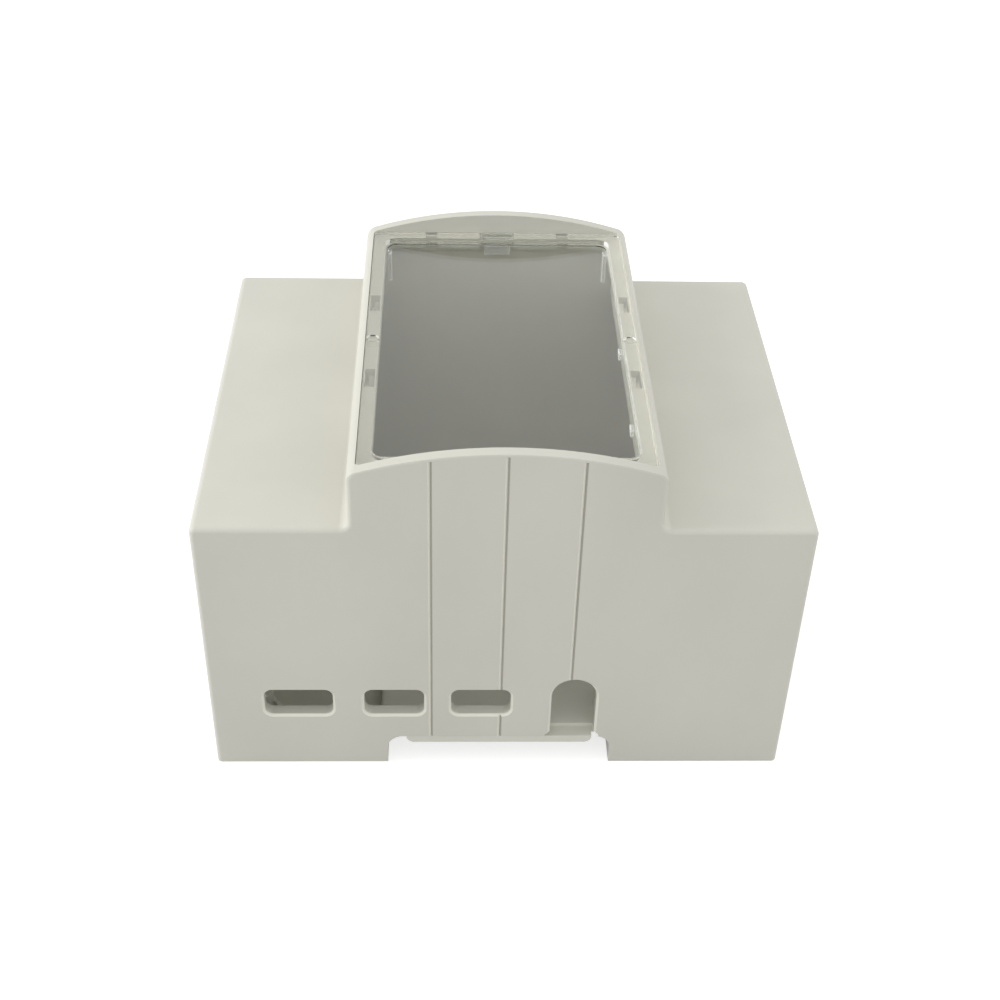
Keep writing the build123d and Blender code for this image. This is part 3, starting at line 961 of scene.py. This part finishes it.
class WindowCover(Moulding):
    """Clear cover: polished plate, hazy latch, legs and tabs, and the nibs that press on the recess."""

    def __init__(self, clear: Finish, hazy: Finish, painted_highlight_clear: Finish, frame: Finish, marks: MarkTree) -> None:
        """Set the piece up.

        Args:
            clear: Finish of the plate.
            hazy: Finish of what hangs below it: rough clear plastic whose diffuse white share also paints
                light on it.
            painted_highlight_clear: Finish of the rounded edges and the frame's long side walls, a
                near-opaque white that paints their highlights.
            frame: Finish of the frame's top, whose diffuse white share paints light on it.
            marks: Tree that makes the repeated nibs.
        """
        self.sizes = CoverSizes()
        super().__init__("window_cover", Body.COVER, Slot.CLEAR, clear, edge=self.sizes.plate_edge,
                         painted_highlight_finish=painted_highlight_clear)
        self.hazy = hazy
        self.frame = frame
        self.marks = marks

    def build(self, nodes: dict[str, bpy.types.Object]) -> None:
        """Make the plate, the hanging parts and the nibs.

        Args:
            nodes: Packed objects by name.
        """
        sizes = self.sizes
        source = nodes[self.node].data
        plate = self.dress("cover_plate", self.cut(source, above=True), self.finish, self.edge)
        self.finish_frame_top(plate)
        self.dress("cover_latch_legs_tabs", self.cut(source, above=False), self.hazy, sizes.feet_edge)
        fields = [
            MarkField(MarkShape.DOME, columns=1, rows=sizes.nib_count, pitch_x=sizes.nib_pitch,
                      pitch_y=sizes.nib_pitch, radius=sizes.nib_radius, height=sizes.nib_reach,
                      place=(side * sizes.half_width, sizes.nib_middle, sizes.nib_height),
                      turn=(0.0, side * math.radians(90), 0.0))
            for side in (-1, 1)
        ]
        self.add_marks("cover_nibs", self.marks, fields, self.hazy)

    def cut(self, source: bpy.types.Mesh, above: bool) -> bmesh.types.BMesh:
        """Cut the plate, or what hangs below it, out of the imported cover.

        Args:
            source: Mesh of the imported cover.
            above: Whether the plate is wanted.

        Returns:
            The closed part, to be freed by the caller.
        """
        work = closed_copy(source)
        keep_side(work, self.sizes.split_height, above)
        shrink(work, self.sizes.air_gap)
        return work

    def finish_frame_top(self, plate: bpy.types.Object) -> None:
        """Give the flat top of the frame its own finish, whose diffuse white share paints light on it.

        Args:
            plate: Dressed plate.
        """
        plate.data.materials.append(self.frame.material())
        for face in plate.data.polygons:
            if face.center.z > self.sizes.pane_top and face.normal.z > self.sizes.top_slope:
                face.material_index = FRAME_SLOT

    def painted_highlight_faces(self, mesh: bpy.types.Mesh) -> list[int]:
        """Choose the rounded edges and the walls of the frame's long sides, which take the painted
        highlight.

        Args:
            mesh: Mesh of the piece.

        Returns:
            1 for each face that takes the painted highlight finish, and 0 for the others.
        """
        edges = super().painted_highlight_faces(mesh)
        sizes = self.sizes
        steep = [face.center.z > sizes.pane_top and abs(face.normal.x) > sizes.wall_slope
                 for face in mesh.polygons]
        return [int(edge or wall) for edge, wall in zip(edges, steep)]


class RailClip(Moulding):
    """Sliding clip for the rail."""

    def __init__(self, node: str, body: Body, finish: Finish) -> None:
        """Set the piece up.

        Args:
            node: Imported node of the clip.
            body: Body that the clip belongs to.
            finish: Finish of the clip.
        """
        super().__init__(node, body, Slot.CLIP, finish)


@dataclass(frozen=True)
class Softbox:
    """A soft lamp that looks at the middle of the object."""

    name: str
    azimuth: float
    elevation: float
    power: float
    distance: float = 0.7
    width: float = 0.4
    tone: Tone = WHITE

    def build(self, target: Vector) -> bpy.types.Object:
        """Place the lamp.

        Args:
            target: Point that the lamp looks at.

        Returns:
            The lamp's object.
        """
        data = bpy.data.lights.new(self.name, "AREA")
        data.shape = "DISK"
        data.size = self.width
        data.energy = self.power
        data.color = self.tone.rgba()[:3]
        lamp = bpy.data.objects.new(self.name, data)
        bpy.context.scene.collection.objects.link(lamp)
        turn, lift = math.radians(self.azimuth), math.radians(self.elevation)
        back = Vector((math.sin(turn) * math.cos(lift), -math.cos(turn) * math.cos(lift), math.sin(lift)))
        lamp.location = target + back * self.distance
        lamp.rotation_mode = "QUATERNION"
        lamp.rotation_quaternion = (-back).to_track_quat("-Z", "Y")
        return lamp


@dataclass
class Studio:
    """Pale floor, even surround, soft lamps and the camera."""

    floor_side: float = 6.0
    floor_drop: float = 0.05 * MM
    floor_tone: Tone = Tone(196, 196, 196)
    floor_glow: float = 0.70
    surround: float = 0.84
    surround_tone: Tone = WHITE
    lamps: tuple[Softbox, ...] = (
        Softbox("softbox_left", azimuth=-90.0, elevation=20.0, power=2.42),
        Softbox("softbox_right", azimuth=90.0, elevation=30.0, power=0.53),
        Softbox("softbox_front", azimuth=15.0, elevation=15.0, power=0.25),
    )
    lamp_target: float = 30.0 * MM
    camera_place: tuple[float, float, float] = (-8.24 * MM, -205.18 * MM, 186.65 * MM)
    camera_pitch: float = 38.10
    camera_yaw: float = 2.44
    camera_roll: float = 1.75
    camera_start: float = 10.0 * MM
    lens: float = 55.60
    sensor: float = 36.0

    def build(self) -> None:
        """Make the whole studio."""
        self.make_floor()
        self.make_world()
        self.make_camera()
        for lamp in self.lamps:
            lamp.build(Vector((0, 0, self.lamp_target)))
        bpy.context.scene.view_settings.view_transform = "Standard"
        LOG.info("studio: floor, surround, %d lamps and camera", len(self.lamps))

    def make_floor(self) -> None:
        """Make the pale floor, which looks white but keeps the object's shadow."""
        half = self.floor_side / 2
        mesh = bpy.data.meshes.new("floor_mesh")
        sides = ((-half, -half), (half, -half), (half, half), (-half, half))
        mesh.from_pydata([(x, y, -self.floor_drop) for x, y in sides], [], [(0, 1, 2, 3)])
        floor = bpy.data.objects.new("floor", mesh)
        bpy.context.scene.collection.objects.link(floor)
        material = bpy.data.materials.new("floor_paint")
        tree = ShaderTree.of_material(material)
        paint = tree.add("ShaderNodeBsdfDiffuse")
        paint.inputs["Color"].default_value = self.floor_tone.rgba()
        glow = tree.add("ShaderNodeEmission")
        share = tree.add("ShaderNodeMath", operation="MULTIPLY")
        share.inputs[1].default_value = self.floor_glow
        total = tree.add("ShaderNodeAddShader")
        tree.link(seen_directly(tree), share.inputs[0])
        tree.link(share.outputs["Value"], glow.inputs["Strength"])
        tree.link(paint.outputs["BSDF"], total.inputs[0])
        tree.link(glow.outputs["Emission"], total.inputs[1])
        tree.link(total.outputs["Shader"], tree.output.inputs["Surface"])
        floor.data.materials.append(material)

    def make_world(self) -> None:
        """Make the surround: even light, and white where the camera or a reflection meets it."""
        world = bpy.data.worlds.new("surround")
        bpy.context.scene.world = world
        tree = ShaderTree.of_world(world)
        ambient = tree.add("ShaderNodeBackground")
        ambient.inputs["Color"].default_value = self.surround_tone.rgba()
        ambient.inputs["Strength"].default_value = self.surround
        white = tree.add("ShaderNodeBackground")
        white.inputs["Color"].default_value = WHITE.rgba()
        white.inputs["Strength"].default_value = 1.0
        mix = tree.add("ShaderNodeMixShader")
        tree.link(seen_directly(tree), mix.inputs["Fac"])
        tree.link(ambient.outputs["Background"], mix.inputs[1])
        tree.link(white.outputs["Background"], mix.inputs[2])
        tree.link(mix.outputs["Shader"], tree.output.inputs["Surface"])

    def make_camera(self) -> None:
        """Make the camera at the photograph's viewing angle."""
        pitch, yaw, roll = (math.radians(a) for a in (self.camera_pitch, self.camera_yaw, self.camera_roll))
        forward = Vector((math.sin(yaw) * math.cos(pitch), math.cos(yaw) * math.cos(pitch),
                          -math.sin(pitch)))
        level = Vector((math.cos(yaw), -math.sin(yaw), 0))
        upright = level.cross(forward)
        right = math.cos(roll) * level + math.sin(roll) * upright
        up = -math.sin(roll) * level + math.cos(roll) * upright
        data = bpy.data.cameras.new("camera")
        data.lens = self.lens
        data.sensor_width = self.sensor
        data.clip_start = self.camera_start
        camera = bpy.data.objects.new("camera", data)
        bpy.context.scene.collection.objects.link(camera)
        turned = Matrix((right, up, -forward)).transposed().to_4x4()
        camera.matrix_world = Matrix.Translation(self.camera_place) @ turned
        bpy.context.scene.camera = camera


def main() -> None:
    """Load the frame, and build every piece and the studio."""
    logging.basicConfig(level=logging.INFO, format="%(name)s: %(message)s")
    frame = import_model()
    shell = MouldedFinish("shell_abs", Tone(209, 208, 197), 0.50)
    # base tone lighter than the shell's, partly a painted brightening of the deck and tongue
    base = MouldedFinish("base_abs", Tone(218, 217, 206), 0.48, grain_depth=0.002 * MM)
    acetal = MouldedFinish("clip_acetal", Tone(196, 195, 184), 0.38, grain_depth=0.001 * MM)
    clear = ClearFinish("clear_polycarbonate", CLEAR_TONE)
    # rough clear plastic; its diffuse white share partly paints light on the legs, latch and tabs
    hazy = ClearFinish("hazy_polycarbonate", CLEAR_TONE, roughness=0.12, transmission=0.6)
    # painted highlight: a near-opaque white finish for the cover's edges and frame walls
    painted_highlight_clear = ClearFinish("painted_highlight_polycarbonate", Tone(255, 255, 252), roughness=0.15, transmission=0.15)
    # painted light: a diffuse white share brightens the clear frame top
    painted_light_frame_top = ClearFinish("frame_painted_light_polycarbonate", Tone(252, 251, 243), roughness=0.06, transmission=0.87)
    marks = MarkTree()
    pieces = [
        HousingShell(shell),
        BaseTray(base, marks),
        WindowCover(clear, hazy, painted_highlight_clear, painted_light_frame_top, marks),
        RailClip("rail_clip_near", Body.CLIP_NEAR, acetal),
        RailClip("rail_clip_far", Body.CLIP_FAR, acetal),
    ]
    for piece in pieces:
        piece.build(frame["nodes"])
    Studio().build()


if __name__ == "__main__":
    main()
